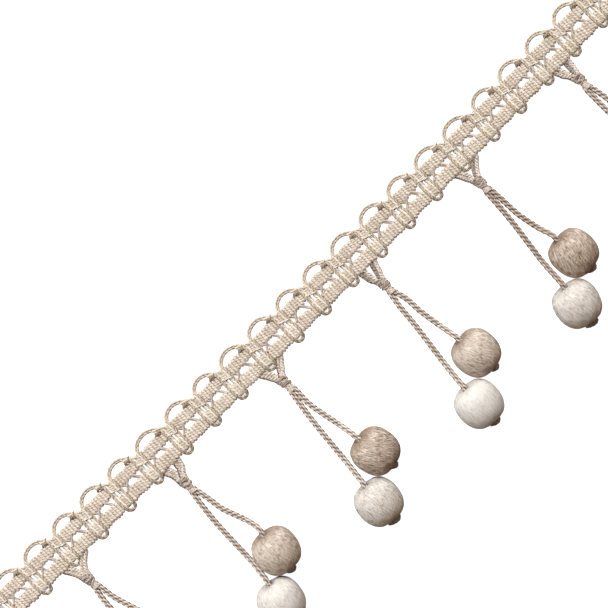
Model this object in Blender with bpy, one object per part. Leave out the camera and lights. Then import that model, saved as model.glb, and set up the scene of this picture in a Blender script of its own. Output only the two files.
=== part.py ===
"""Beaded fringe trim: a cut length of gimp braid with scallops and six bead drops.

Metres, +Z up. The trim lies face up on the surface z = 0. +X runs along the braid, +Y points to
the scalloped edge and the drops hang towards -Y. The origin is on the underside, on the centre
line of the upper band, where the trim is sewn on. Lengths below are in millimetres.
"""
import math

import bmesh
import bpy
from mathutils import Matrix, Vector

MM = 0.001

# Braid
PITCH = 12.32            # one repeat, from column to column
FIRST_COLUMN = -11       # columns run from this number to LAST_COLUMN
LAST_COLUMN = 11
COLUMN_SHIFT = 4.07      # x of column 0
END_LENGTH = 6.1         # braid beyond the centres of the outer columns
BAND_TOP = 4.9           # edges of the two bands, from the slot's centre line
BAND_BOTTOM = -5.0
SLOT_HALF = 0.8
SEW_LINE = 2.8           # centre of the upper band, which becomes y = 0
RIB_CREST = 2.0
RIB_VALLEY = 1.35
STRAND_CREST = 2.5       # gimp strands stand above the ribs
STRAND_SPACING = 3.1     # between the two strands of a column
STRAND_WIDTH = 1.2
RIBS_BETWEEN = 7         # ribs from one column to the next
BOW_RISE = 1.05          # the braid's ends bend towards the scallops
BOW_AT = 124.0

# Gimp cord where it leaves the braid
CORD_HALF = 0.56
CORD_HEIGHT = 1.12
ARCH_HEIGHT = 8.3        # cord centre above the slot's centre line
LOOP_BOTTOM = -6.7

# Drops
LEG_HALF = 1.05          # two cords side by side
LEG_HEIGHT = 1.05
KNOT_HALF = 1.7
KNOT_HEIGHT = 2.6
BINDING_RADIUS = 1.12
TWIST_RADIUS = 0.97      # corner radius of the twisted cord's four-sided section
TWIST_STEP = 1.3
TWIST_TURN = math.radians(45)
CORD_APART = 0.74        # half the spacing of the two cords in the binding
CLEARANCE = 0.3

# Beads
BEAD_RADIUS = 7.15
BEAD_CENTRE_Z = 6.9     # a little less than the radius, so each bead has a flat spot
BEAD_TIP = math.radians(9)
BEAD_SIDES = 14
HOLE_RADIUS = 1.28
BEAD_PROFILE = (         # radius and height along the bead's axis, top to bottom
    (HOLE_RADIUS, 5.9), (3.0, 6.9), (5.1, 6.1), (6.7, 3.7), (BEAD_RADIUS, 0.6),
    (6.7, -3.1), (5.0, -5.8), (2.9, -7.1), (HOLE_RADIUS, -6.5),
)
END_KNOT_AT = -7.75      # centre of the end knot on the bead's axis
END_KNOT_RADIUS = 1.72

# Unevenness of the columns along the braid, one value for each column
COLUMN_OFFSETS = (
    0.0, 0.3, 0.5, 0.2, 0.0, -0.35, 0.35, 0.3, -0.25, -0.2, -0.1, -0.5,
    -0.6, -0.2, -0.1, -0.35, 0.0, 0.6, 0.2, 0.0, -0.1, 0.0, 0.0,
)

# Each drop in slot coordinates (y from the slot's centre line):
# knot x, knot y, leg tops x, left cord (bend x, bend y), right cord (bend x, bend y),
# ivory bead (x, y, lean in degrees), taupe bead (x, y, lean in degrees)
DROPS = (
    dict(knot=(-107.1, -11.1), legs=(-110.3, -102.5), left=(-109.2, -28.0), right=(-104.4, -26.0),
         ivory=(-110.8, -58.3, -5.0), taupe=(-99.8, -47.0, 7.0)),
    dict(knot=(-65.2, -11.8), legs=(-66.9, -62.2), left=(-67.5, -28.6), right=(-62.9, -25.5),
         ivory=(-70.0, -58.3, -10.0), taupe=(-60.0, -46.3, -6.7)),
    dict(knot=(-21.4, -11.6), legs=(-24.6, -17.1), left=(-24.2, -28.6), right=(-20.4, -25.5),
         ivory=(-27.2, -58.2, -5.4), taupe=(-16.8, -46.6, 8.2)),
    dict(knot=(21.7, -12.4), legs=(19.5, 24.2), left=(19.4, -28.6), right=(23.7, -26.4),
         ivory=(15.8, -59.1, -3.3), taupe=(26.4, -47.5, 6.6)),
    dict(knot=(65.0, -11.6), legs=(62.1, 69.5), left=(63.1, -28.6), right=(66.3, -27.0),
         ivory=(58.8, -59.1, -7.3), taupe=(69.2, -47.4, 5.4)),
    dict(knot=(109.2, -11.2), legs=(106.3, 110.6), left=(108.2, -28.0), right=(111.4, -25.5),
         ivory=(103.8, -59.0, -4.0), taupe=(114.2, -47.4, 7.5)),
)


def clear_scene():
    for thing in list(bpy.data.objects):
        bpy.data.objects.remove(thing, do_unlink=True)


def new_collection(name):
    collection = bpy.data.collections.new(name)
    bpy.context.scene.collection.children.link(collection)
    return collection


def new_material(name, colour, roughness, sheen):
    material = bpy.data.materials.new(name)
    material.use_nodes = True
    shader = material.node_tree.nodes["Principled BSDF"]
    shader.inputs["Base Color"].default_value = (*colour, 1.0)
    shader.inputs["Roughness"].default_value = roughness
    shader.inputs["Metallic"].default_value = 0.0
    shader.inputs["Sheen Weight"].default_value = sheen
    return material


def object_from(name, verts, faces, material, collection):
    """Makes a closed mesh object from points in millimetres, with its faces turned outward."""
    mesh = bpy.data.meshes.new(name)
    mesh.from_pydata([Vector(v) * MM for v in verts], [], faces)
    shell = bmesh.new()
    shell.from_mesh(mesh)
    bmesh.ops.remove_doubles(shell, verts=shell.verts, dist=1e-7)
    bmesh.ops.recalc_face_normals(shell, faces=shell.faces)
    shell.to_mesh(mesh)
    shell.free()
    mesh.materials.append(material)
    made = bpy.data.objects.new(name, mesh)
    collection.objects.link(made)
    return made


def unite(base, tools, cutters):
    """Adds each tool to the base with an exact union and keeps the tools as wire outlines."""
    for tool in tools:
        for holder in list(tool.users_collection):
            holder.objects.unlink(tool)
        cutters.objects.link(tool)
        tool.hide_render = True
        tool.display_type = "WIRE"
        union = base.modifiers.new("Join " + tool.name, "BOOLEAN")
        union.operation = "UNION"
        union.solver = "EXACT"
        union.object = tool
    return base


def bow(x):
    return BOW_RISE * (x / BOW_AT) ** 2


def column_x(number):
    return COLUMN_SHIFT + number * PITCH + COLUMN_OFFSETS[number - FIRST_COLUMN]


def braid_stations():
    """Lists the stations along the braid as (x, top height, what starts there)."""
    half_block = (STRAND_SPACING + STRAND_WIDTH) / 2
    inner = (STRAND_SPACING - STRAND_WIDTH) / 2
    stations = []

    def ribs(start, end, count, tag):
        step = (end - start) / count
        for rib in range(count):
            stations.append((start + rib * step, RIB_VALLEY, f"{tag}{rib}"))
            stations.append((start + (rib + 0.5) * step, RIB_CREST, ""))

    first = column_x(FIRST_COLUMN)
    ribs(first - END_LENGTH, first - half_block, 3, f"end-{FIRST_COLUMN}-")
    for number in range(FIRST_COLUMN, LAST_COLUMN + 1):
        centre = column_x(number)
        stations.append((centre - half_block, RIB_VALLEY, f"left-{number}"))
        stations.append((centre - STRAND_SPACING / 2, STRAND_CREST, ""))
        ribs(centre - inner, centre + inner, 1, "mid")
        stations.append((centre + inner, RIB_VALLEY, f"right-{number}"))
        stations.append((centre + STRAND_SPACING / 2, STRAND_CREST, ""))
        if number < LAST_COLUMN:
            ribs(centre + half_block, column_x(number + 1) - half_block, RIBS_BETWEEN, f"rib-{number}-")
        else:
            ribs(centre + half_block, centre + END_LENGTH, 3, f"end-{number}-")
            stations.append((centre + END_LENGTH, RIB_VALLEY, "stop"))
    return stations


def straight_bow(x):
    """Bow height with one straight piece for each repeat."""
    number = min(max(math.floor((x - COLUMN_SHIFT) / PITCH), FIRST_COLUMN - 1), LAST_COLUMN)
    left = COLUMN_SHIFT + number * PITCH
    share = (x - left) / PITCH
    return bow(left) * (1 - share) + bow(left + PITCH) * share


def cord_ring(centre, direction, half, height):
    """Six points of the gimp lying on the surface: flat below, rounded above."""
    side = Vector((direction.y, -direction.x, 0)).normalized()
    base = Vector((centre[0], centre[1], 0))
    up = Vector((0, 0, 1))
    return [
        base - side * half * 0.7,
        base,
        base + side * half * 0.7,
        base + side * half + up * height * 0.5,
        base + up * height,
        base - side * half + up * height * 0.5,
    ]


def build_heading(material, collection):
    """One woven piece: two ribbed bands, the strands and threads across the slot, arches and loops."""
    stations = braid_stations()
    tags = {tag: place for place, (_, _, tag) in enumerate(stations) if tag}
    verts = []
    faces = []

    def add(point):
        verts.append((point[0], point[1] - SEW_LINE, point[2]))
        return len(verts) - 1

    edges = {"upper": (BAND_TOP, SLOT_HALF), "lower": (BAND_BOTTOM, -SLOT_HALF)}
    grid = {}
    for band, (outer, inner) in edges.items():
        for place, (x, height, _) in enumerate(stations):
            for side, y in (("outer", outer), ("inner", inner)):
                y += straight_bow(x)
                grid[band, side, place] = (add((x, y, height)), add((x, y, 0)))

    open_sides = set()

    def mouth(band, side, place):
        """Opens two side faces of a band and returns the six points round them, -X side first."""
        open_sides.update({(band, side, place), (band, side, place + 1)})
        low = [grid[band, side, place + step][1] for step in range(3)]
        high = [grid[band, side, place + step][0] for step in (2, 1, 0)]
        return low + high

    def bridge(ring_a, ring_b):
        for a in range(6):
            b = (a + 1) % 6
            faces.append((ring_a[a], ring_a[b], ring_b[b], ring_b[a]))

    def tube(start, path, end):
        """Joins two mouths with a cord along path, whose entries are (x, y, half width, height)."""
        ring = start
        for place, (x, y, half, height) in enumerate(path):
            before = path[max(place - 1, 0)]
            after = path[min(place + 1, len(path) - 1)]
            direction = Vector((after[0] - before[0], after[1] - before[1], 0))
            points = [add(point) for point in cord_ring((x, y), direction, half, height)]
            bridge(ring, points)
            ring = points
        bridge(ring, end)

    def turned(ring):
        return [ring[2], ring[1], ring[0], ring[5], ring[4], ring[3]]

    for number in range(FIRST_COLUMN, LAST_COLUMN + 1):
        left = tags[f"left-{number}"]
        right = tags[f"right-{number}"]
        centre = column_x(number)
        lift = straight_bow(centre)
        half = STRAND_SPACING / 2
        for place in (left, right):
            bridge(mouth("upper", "inner", place), mouth("lower", "inner", place))
        # U loop under the lower edge
        start = turned(mouth("lower", "outer", left))
        end = mouth("lower", "outer", right)
        loop = []
        for angle, reach in ((180, 1.0), (222, 1.06), (270, 0.98), (318, 1.06), (360, 1.0)):
            turn = math.radians(angle)
            x = centre + half * reach * math.cos(turn)
            y = BAND_BOTTOM - 0.35 + (LOOP_BOTTOM - BAND_BOTTOM + 0.35) * -math.sin(turn) * reach
            loop.append((x, y + lift, CORD_HALF, CORD_HEIGHT))
        tube(start, loop, end)
        if number == LAST_COLUMN:
            continue
        # Arch to the next column, caught down at its far foot
        foot = centre + half
        far = column_x(number + 1) - half
        span = far - foot
        lift = straight_bow((foot + far) / 2)
        arch = [
            (foot + 0.25, BAND_TOP + 0.55 + lift, CORD_HALF, 1.5),
            (foot + 0.17 * span, BAND_TOP + 1.9 + lift, CORD_HALF, CORD_HEIGHT),
            (foot + 0.34 * span, ARCH_HEIGHT - 0.25 + lift, CORD_HALF, CORD_HEIGHT),
            (foot + 0.53 * span, ARCH_HEIGHT - 0.05 + lift, CORD_HALF, CORD_HEIGHT),
            (foot + 0.73 * span, BAND_TOP + 2.15 + lift, CORD_HALF, CORD_HEIGHT),
            (far - 1.15, BAND_TOP + 0.95 + lift, 0.95, 1.9),
            (far - 0.3, BAND_TOP + 0.35 + lift, 0.85, 2.0),
        ]
        tube(mouth("upper", "outer", right), arch, turned(mouth("upper", "outer", tags[f"left-{number + 1}"])))
        # Two threads that slant across the slot
        for rib_above, rib_below in ((2, 1), (4, 5)):
            bridge(
                mouth("upper", "inner", tags[f"rib-{number}-{rib_above}"]),
                mouth("lower", "inner", tags[f"rib-{number}-{rib_below}"]),
            )
    # Both cut ends are stitched across the slot
    for tag in (f"end-{FIRST_COLUMN}-0", f"end-{LAST_COLUMN}-2"):
        bridge(mouth("upper", "inner", tags[tag]), mouth("lower", "inner", tags[tag]))

    for band in edges:
        for place in range(len(stations) - 1):
            outer_a, outer_b = grid[band, "outer", place], grid[band, "outer", place + 1]
            inner_a, inner_b = grid[band, "inner", place], grid[band, "inner", place + 1]
            faces.append((outer_a[0], outer_b[0], inner_b[0], inner_a[0]))
            faces.append((outer_a[1], outer_b[1], inner_b[1], inner_a[1]))
            if (band, "outer", place) not in open_sides:
                faces.append((outer_a[0], outer_b[0], outer_b[1], outer_a[1]))
            if (band, "inner", place) not in open_sides:
                faces.append((inner_a[0], inner_b[0], inner_b[1], inner_a[1]))
        for place in (0, len(stations) - 1):
            outer, inner = grid[band, "outer", place], grid[band, "inner", place]
            faces.append((outer[0], outer[1], inner[1], inner[0]))
    return object_from("heading_braid", verts, faces, material, collection)


def loft(name, rings, material, collection, twisted=False):
    """A closed body through rings of equal length, capped at both ends. Twisted sides are split
    along their shorter diagonals, which gives the cord its diamonds."""
    verts = [point for ring in rings for point in ring]
    sides = len(rings[0])
    faces = [tuple(range(sides)), tuple(range(len(verts) - sides, len(verts)))]
    for row in range(len(rings) - 1):
        for a in range(sides):
            b = (a + 1) % sides
            low, high = row * sides, (row + 1) * sides
            if twisted:
                faces.append((low + a, low + b, high + a))
                faces.append((low + b, high + b, high + a))
            else:
                faces.append((low + a, low + b, high + b, high + a))
    return object_from(name, verts, faces, material, collection)


def shifted(x, y, z=0.0):
    """A point in slot coordinates as a point of the part."""
    return Vector((x, y - SEW_LINE, z))


def ease(value):
    value = min(max(value, 0.0), 1.0)
    return value * value * (3 - 2 * value)


def curve_through(points, step):
    """Points every step along a smooth curve through the given points."""
    dense = []
    padded = [points[0] * 2 - points[1]] + points + [points[-1] * 2 - points[-2]]
    for place in range(1, len(padded) - 2):
        p0, p1, p2, p3 = padded[place - 1:place + 3]
        for part in range(40):
            t = part / 40
            dense.append(0.5 * (
                2 * p1 + (p2 - p0) * t + (2 * p0 - 5 * p1 + 4 * p2 - p3) * t * t
                + (3 * p1 - p0 - 3 * p2 + p3) * t ** 3
            ))
    dense.append(points[-1])
    length = sum((b - a).length for a, b in zip(dense, dense[1:]))
    count = max(2, round(length / step))
    result = [dense[0]]
    travelled, target = 0.0, length / count
    for a, b in zip(dense, dense[1:]):
        travelled += (b - a).length
        if travelled >= target * len(result) and len(result) < count:
            result.append(b)
    result.append(dense[-1])
    return result


def bead_frame(x, y, lean):
    """Centre of a bead and the direction of its axis, from the end knot up to the cord."""
    centre = shifted(x, y, BEAD_CENTRE_Z)
    slant = math.radians(lean)
    flat = Vector((-math.sin(slant), math.cos(slant), 0))
    axis = flat * math.cos(BEAD_TIP) + Vector((0, 0, math.sin(BEAD_TIP)))
    return centre, axis


def twisted_cord(name, root, bend, bead, material, collection):
    """A four-sided twisted cord from the binding, over the surface and straight through its bead."""
    centre, axis = bead_frame(*bead)
    entry = centre + axis * 6.4
    approach = centre + axis * 9.5
    low = TWIST_RADIUS
    points = [
        Vector((root.x, root.y, low)),
        Vector((root.x * 0.62 + bend.x * 0.38, root.y * 0.72 + bend.y * 0.28, low)),
        Vector((bend.x, bend.y, low)),
        Vector((approach.x * 0.6 + bend.x * 0.4, approach.y * 0.6 + bend.y * 0.4, low)),
        Vector((approach.x, approach.y, approach.z * 0.86)),
        entry,
    ]
    path = curve_through(points, TWIST_STEP)
    path = [Vector((p.x, p.y, max(p.z, low))) for p in path]
    path += [centre - axis * 2.0, centre + axis * END_KNOT_AT]
    rings = []
    for place, point in enumerate(path):
        before, after = path[max(place - 1, 0)], path[min(place + 1, len(path) - 1)]
        along = (after - before).normalized()
        side = along.cross(Vector((0, 0, 1))).normalized()
        up = side.cross(along)
        phase = TWIST_TURN * min(place, len(path) - 3) + math.radians(45)
        rings.append([
            point + side * TWIST_RADIUS * math.cos(phase + corner * math.pi / 2)
            + up * TWIST_RADIUS * math.sin(phase + corner * math.pi / 2)
            for corner in range(4)
        ])
    return loft(name, rings, material, collection, twisted=True)


def leg(name, top, foot, material, collection):
    """Two cords side by side, lying on the surface, as one strip with a groove."""
    section = ((-0.85, 0.0), (0.85, 0.0), (1.0, 0.45), (0.56, 1.0), (0.0, 0.58), (-0.56, 1.0), (-1.0, 0.45))
    start, end = shifted(*top), shifted(*foot)
    along_y = Vector((0, -1, 0))
    rings = []
    for share, widen in ((0.0, 1.0), (0.35, 1.0), (0.72, 0.97), (1.0, 0.9)):
        sway = ease(share) * 0.75 + share * 0.25
        point = Vector((start.x + (end.x - start.x) * sway, start.y + (end.y - start.y) * share, 0))
        slope = (end - start) * Vector((1, 1, 0)).length
        direction = along_y if share == 0 else Vector((slope.x, slope.y, 0)).normalized()
        side = Vector((-direction.y, direction.x, 0))
        rings.append([
            point + side * u * LEG_HALF * widen + Vector((0, 0, w * LEG_HEIGHT)) for u, w in section
        ])
    return loft(name, rings, material, collection)


def lumpy_knot(name, centre, axis, profile, width, height, lumps, sides, material, collection):
    """A knot as a short turned body with raised turns: profile has (distance along axis, size)."""
    side = axis.cross(Vector((0, 0, 1))).normalized()
    up = side.cross(axis)
    rings = []
    for row, (distance, size) in enumerate(profile):
        ring = []
        for corner in range(sides):
            phi = 2 * math.pi * corner / sides
            swell = size * (1 + lumps * math.cos(2 * phi + 1.4 * row))
            ring.append(
                centre + axis * distance + side * width * swell * math.cos(phi)
                + up * height * swell * math.sin(phi)
            )
        rings.append(ring)
    return loft(name, rings, material, collection)


def build_drop(number, drop, material, collection, cutters):
    """Doubled loop, knot, binding, two twisted cords and their end knots as one piece."""
    knot_x, knot_y = drop["knot"]
    name = f"drop_{number}"
    down = Vector((0, -1, 0))
    knot_profile = ((-1.85, 0.55), (-1.0, 0.95), (0.0, 1.0), (0.95, 0.85), (1.7, 0.62))
    knot = lumpy_knot(
        name, shifted(knot_x, knot_y, KNOT_HEIGHT / 2), down, knot_profile,
        KNOT_HALF, KNOT_HEIGHT / 2 * 0.9, 0.11, 8, material, collection,
    )
    parts = []
    binding_profile = ((1.0, 0.9), (1.45, 1.08), (1.85, 0.94), (2.25, 1.08), (2.65, 0.94), (3.05, 1.08), (3.7, 0.85))
    parts.append(lumpy_knot(
        name + "_binding", shifted(knot_x, knot_y, BINDING_RADIUS * 1.08), down, binding_profile,
        BINDING_RADIUS, BINDING_RADIUS, 0.0, 6, material, collection,
    ))
    leg_top = BAND_BOTTOM + straight_bow(knot_x) - CLEARANCE
    for sign, top_x in zip((-1, 1), drop["legs"]):
        parts.append(leg(
            f"{name}_leg_{sign}", (top_x, leg_top), (knot_x + sign * 0.62, knot_y + 0.9), material, collection,
        ))
    end_profile = ((-0.85, 0.72), (-0.3, 1.05), (0.35, 1.0), (0.85, 0.6))
    for sign, bend, bead in ((-1, drop["left"], drop["ivory"]), (1, drop["right"], drop["taupe"])):
        root = shifted(knot_x + sign * CORD_APART, knot_y - 3.1)
        side_name = "long" if sign < 0 else "short"
        parts.append(twisted_cord(
            f"{name}_{side_name}_cord", root, shifted(*bend), bead, material, collection,
        ))
        centre, axis = bead_frame(*bead)
        parts.append(lumpy_knot(
            f"{name}_{side_name}_end_knot", centre + axis * END_KNOT_AT, axis, end_profile,
            END_KNOT_RADIUS, END_KNOT_RADIUS, 0.06, 6, material, collection,
        ))
    return unite(knot, parts, cutters)


def build_bead(name, bead, material, collection):
    """A wound bead as a turned body with a bore, dimpled at both ends, with a small flat spot."""
    centre, axis = bead_frame(*bead)
    verts = []
    faces = []
    for radius, height in BEAD_PROFILE:
        for corner in range(BEAD_SIDES):
            phi = 2 * math.pi * (corner + 0.5) / BEAD_SIDES
            verts.append((radius * math.cos(phi), radius * math.sin(phi), height))
    rows = len(BEAD_PROFILE)
    for row in range(rows):
        for a in range(BEAD_SIDES):
            b = (a + 1) % BEAD_SIDES
            low, high = row * BEAD_SIDES, (row + 1) % rows * BEAD_SIDES
            faces.append((low + a, low + b, high + b, high + a))
    side = axis.cross(Vector((0, 0, 1))).normalized()
    up = axis.cross(side)
    turn = Matrix((side, up, axis)).transposed()
    placed = [turn @ Vector(v) + centre for v in verts]
    made = object_from(name, placed, faces, material, collection)
    shell = bmesh.new()
    shell.from_mesh(made.data)
    cut = bmesh.ops.bisect_plane(
        shell, geom=shell.verts[:] + shell.edges[:] + shell.faces[:], dist=1e-7,
        plane_co=(0, 0, 0), plane_no=(0, 0, -1), clear_outer=True,
    )
    rim = [item for item in cut["geom_cut"] if isinstance(item, bmesh.types.BMEdge)]
    bmesh.ops.contextual_create(shell, geom=rim)
    bmesh.ops.recalc_face_normals(shell, faces=shell.faces)
    for face in shell.faces:
        face.smooth = True
    shell.to_mesh(made.data)
    shell.free()
    return made


clear_scene()
trim = new_collection("beaded_fringe_trim")
cutters = new_collection("cutters")
gimp_yarn = new_material("gimp_yarn", (0.66, 0.56, 0.45), 0.75, 0.3)
cord_yarn = new_material("cord_yarn", (0.50, 0.41, 0.33), 0.75, 0.3)
ivory_silk = new_material("ivory_silk", (0.80, 0.76, 0.69), 0.45, 0.2)
taupe_silk = new_material("taupe_silk", (0.42, 0.32, 0.24), 0.42, 0.2)

build_heading(gimp_yarn, trim)
for place, drop in enumerate(DROPS, start=1):
    build_drop(place, drop, cord_yarn, trim, cutters)
    build_bead(f"ivory_bead_{place}", drop["ivory"], ivory_silk, trim)
    build_bead(f"taupe_bead_{place}", drop["taupe"], taupe_silk, trim)
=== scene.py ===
"""Beaded fringe trim: the finished look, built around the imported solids."""
import math

import bpy
import numpy as np
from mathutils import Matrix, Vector


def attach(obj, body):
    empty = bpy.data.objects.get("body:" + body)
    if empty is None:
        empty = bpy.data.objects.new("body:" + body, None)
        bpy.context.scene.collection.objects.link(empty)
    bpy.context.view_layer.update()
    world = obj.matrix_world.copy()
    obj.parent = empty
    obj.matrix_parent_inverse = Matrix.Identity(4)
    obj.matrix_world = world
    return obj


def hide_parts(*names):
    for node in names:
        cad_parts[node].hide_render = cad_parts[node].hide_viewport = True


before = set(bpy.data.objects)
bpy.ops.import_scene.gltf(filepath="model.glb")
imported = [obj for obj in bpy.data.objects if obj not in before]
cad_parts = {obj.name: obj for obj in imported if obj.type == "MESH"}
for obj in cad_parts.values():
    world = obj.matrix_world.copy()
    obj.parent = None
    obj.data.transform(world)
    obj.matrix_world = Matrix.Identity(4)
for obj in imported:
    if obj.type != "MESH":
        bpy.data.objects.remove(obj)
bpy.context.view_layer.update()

# Table, lamps and camera. The trim lies face up on a plain white table and is seen from straight
# above, with the braid rising from lower left to upper right. A soft lamp stands beyond the arches,
# a white card stands at each side, and a weak warm lamp beyond the beads lifts the shade there.
TABLE_HALF = 5.0
TABLE_GLOW = 0.97
TABLE_GRAIN = 900.0
TABLE_RELIEF = 0.00002
TABLE_WHITES = ((0.86, 0.86, 0.86), (0.92, 0.92, 0.92))
CAMERA_HEIGHT = 0.7
CAMERA_TURN = -45.5
CAMERA_LENS = 133.7
CAMERA_SENSOR = 36.0
VIEW_CENTRE = (0.0, -0.001932)
LAMP_COLOUR = (0.96, 0.98, 1.0)
SIDE_COLOUR = (1.0, 0.95, 0.9)
FILL_COLOUR = (1.0, 0.66, 0.42)
LAMPS = (                # name, direction, strength, softness in degrees, colour
    ("lamp", (-0.05, -0.73, -0.67), 2.88, 36.0, LAMP_COLOUR),
    ("left_card", (0.8, -0.35, -0.48), 0.62, 60.0, SIDE_COLOUR),
    ("right_card", (-0.8, -0.35, -0.48), 1.08, 60.0, SIDE_COLOUR),
    ("fill", (0.0, 0.95, -0.3), 0.28, 70.0, FILL_COLOUR),
)
SKY_STRENGTH = 0.24
SKY_WARMTH = (1.0, 0.88, 0.76, 1.0)
SKY_EDGE = (-0.2, 0.65)  # from no light to all of it, as a direction turns up and beyond the arches


class Number:
    """A value in a material's nodes. Arithmetic on it adds Math nodes."""

    def __init__(self, finish, socket):
        self.finish = finish
        self.socket = socket

    def math(self, operation, *others):
        node = self.finish.node("ShaderNodeMath", {"operation": operation}, self, *others)
        return Number(self.finish, node.outputs[0])

    def __add__(self, other):
        return self.math("ADD", other)

    def __sub__(self, other):
        return self.math("SUBTRACT", other)

    def __mul__(self, other):
        return self.math("MULTIPLY", other)

    def __rsub__(self, other):
        node = self.finish.node("ShaderNodeMath", {"operation": "SUBTRACT"}, other, self)
        return Number(self.finish, node.outputs[0])

    __radd__ = __add__
    __rmul__ = __mul__


class Finish:
    """A material, or a given tree, and the nodes that make it."""

    def __init__(self, name, tree=None):
        if tree is None:
            self.material = bpy.data.materials.new(name)
            self.material.use_nodes = True
            tree = self.material.node_tree
        self.tree = tree
        self.shader = tree.nodes.get("Principled BSDF")

    def feed(self, socket, value):
        """Links an output to a socket, or sets a number or a colour on it."""
        value = value.socket if isinstance(value, Number) else value
        if isinstance(value, bpy.types.NodeSocket):
            self.tree.links.new(value, socket)
        else:
            socket.default_value = value

    def node(self, kind, settings, *values, **named):
        """A node with its settings made first, then its sockets set or linked."""
        made = self.tree.nodes.new(kind)
        for key, value in settings.items():
            setattr(made, key, value)
        for place, value in enumerate(values):
            self.feed(made.inputs[place], value)
        for key, value in named.items():
            self.feed(made.inputs[key.replace("_", " ")], value)
        return made

    def value(self, node, output=0):
        return Number(self, node.outputs[output])

    def mark(self, name):
        """A number that the mesh carries at each point."""
        return self.value(self.node("ShaderNodeAttribute", {"attribute_name": name}), "Fac")

    def across_and_along(self):
        """The two numbers of the mesh's UV map."""
        where = self.node("ShaderNodeTexCoord", {}).outputs["UV"]
        split = self.node("ShaderNodeSeparateXYZ", {}, where)
        return self.value(split, 0), self.value(split, 1)

    def place(self):
        return self.node("ShaderNodeTexCoord", {}).outputs["Object"]

    def point(self, x, y):
        return self.node("ShaderNodeCombineXYZ", {}, x, y).outputs[0]

    def noise(self, where, scale, detail=2.0, roughness=0.5):
        return self.value(self.node(
            "ShaderNodeTexNoise", {}, Vector=where, Scale=scale, Detail=detail, Roughness=roughness,
        ))

    def steps(self, value, low, high):
        """0 below low, 1 above high, and smooth between."""
        return self.value(self.node(
            "ShaderNodeMapRange", {"interpolation_type": "SMOOTHSTEP"},
            Value=value, From_Min=low, From_Max=high,
        ))

    def blend(self, share, first, second, way="MIX"):
        """Two colours mixed by a value. The node's colours are inputs 6 and 7, and output 2."""
        made = self.node("ShaderNodeMix", {"data_type": "RGBA", "blend_type": way}, share)
        for place, colour in ((6, first), (7, second)):
            self.feed(made.inputs[place], (*colour, 1.0) if isinstance(colour, tuple) else colour)
        return made.outputs[2]

    def raise_fibres(self, height, strength, distance):
        bump = self.node("ShaderNodeBump", {}, Strength=strength, Distance=distance, Height=height)
        self.surface(Normal=bump.outputs["Normal"])

    def surface(self, **values):
        """Sets or links the shader's own sockets."""
        for key, value in values.items():
            self.feed(self.shader.inputs[key.replace("_", " ")], value)


corners = ((-1, -1), (1, -1), (1, 1), (-1, 1))
table_mesh = bpy.data.meshes.new("table")
table_mesh.from_pydata([(x * TABLE_HALF, y * TABLE_HALF, 0.0) for x, y in corners], [], [(0, 1, 2, 3)])
table = bpy.data.objects.new("table", table_mesh)
bpy.context.scene.collection.objects.link(table)
board = Finish("white_board")
grain = board.noise(board.place(), TABLE_GRAIN, 3.0)
board.raise_fibres(grain, 0.05, TABLE_RELIEF)
board.surface(
    Base_Color=board.blend(grain, *TABLE_WHITES), Roughness=0.9,
    Emission_Color=(1.0, 1.0, 1.0, 1.0), Emission_Strength=TABLE_GLOW,
)
table_mesh.materials.append(board.material)
table.visible_diffuse = False
table.visible_glossy = False

for name, direction, strength, softness, colour in LAMPS:
    lamp = bpy.data.objects.new(name, bpy.data.lights.new(name, "SUN"))
    lamp.data.energy = strength
    lamp.data.color = colour
    lamp.data.angle = math.radians(softness)
    lamp.rotation_euler = Vector(direction).to_track_quat("-Z", "Y").to_euler()
    bpy.context.scene.collection.objects.link(lamp)

world = bpy.data.worlds.new("studio")
world.use_nodes = True
bpy.context.scene.world = world
sky = Finish("studio", world.node_tree)
facing = sky.node("ShaderNodeSeparateXYZ", {}, sky.node("ShaderNodeTexCoord", {}).outputs["Generated"])
sideways, beyond, above = (sky.value(facing, output) for output in range(3))
glow = sky.steps(beyond * 0.6 + above * 0.7 + sideways.math("ABSOLUTE") * 0.5, *SKY_EDGE) * SKY_STRENGTH
background = world.node_tree.nodes["Background"]
sky.feed(background.inputs["Strength"], glow)
sky.feed(background.inputs["Color"], SKY_WARMTH)

camera = bpy.data.objects.new("camera", bpy.data.cameras.new("camera"))
camera.data.lens = CAMERA_LENS
camera.data.sensor_width = CAMERA_SENSOR
camera.location = (*VIEW_CENTRE, CAMERA_HEIGHT)
camera.rotation_euler = (0.0, 0.0, math.radians(CAMERA_TURN))
bpy.context.scene.collection.objects.link(camera)
bpy.context.scene.camera = camera
bpy.context.scene.view_settings.view_transform = "Standard"


# Ribbed bands. The heading is woven on a narrow loom from cream yarn: two bands of close ribs with
# an open slot between them. Each rib is one turn of two-ply yarn, rounded over both edges of its band.
# All sizes are millimetres from the slot's centre line, with the arches up and the drops down.
MM = 0.001
SEW_LINE = 2.8           # the row's y = 0 is this far above the slot's centre line
PITCH = 12.32            # one repeat, from column to column
FIRST_COLUMN = -11
LAST_COLUMN = 11
COLUMN_SHIFT = 4.07
COLUMN_OFFSETS = (       # how far each column stands from its place
    0.0, 0.3, 0.5, 0.2, 0.0, -0.35, 0.35, 0.3, -0.25, -0.2, -0.1, -0.5,
    -0.6, -0.2, -0.1, -0.35, 0.0, 0.6, 0.2, 0.0, -0.1, 0.0, 0.0,
)
END_LENGTH = 6.1         # of braid beyond the outer columns
END_RIBS = 3
RIBS_BETWEEN = 7
BEND = 1.05              # the braid's ends lie this far towards the arches, at BEND_AT from its middle
BEND_AT = 124.0
STRAND_SPACING = 3.1
STRAND_WIDTH = 1.2
UPPER_BAND = (0.72, 5.04)
LOWER_BAND = (-0.86, -5.42)
RIB_STEPS = 6            # rings across each rib
RIB_TWIST = 1.54         # lay of the two-ply yarn
RIB_TALLEST = 0.66       # half a rib's thickness, at most
RIB_KEPT = {"open": 0.97, "under": 0.42, "inside": 0.8}      # the share of it, by the kind of rib
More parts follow.
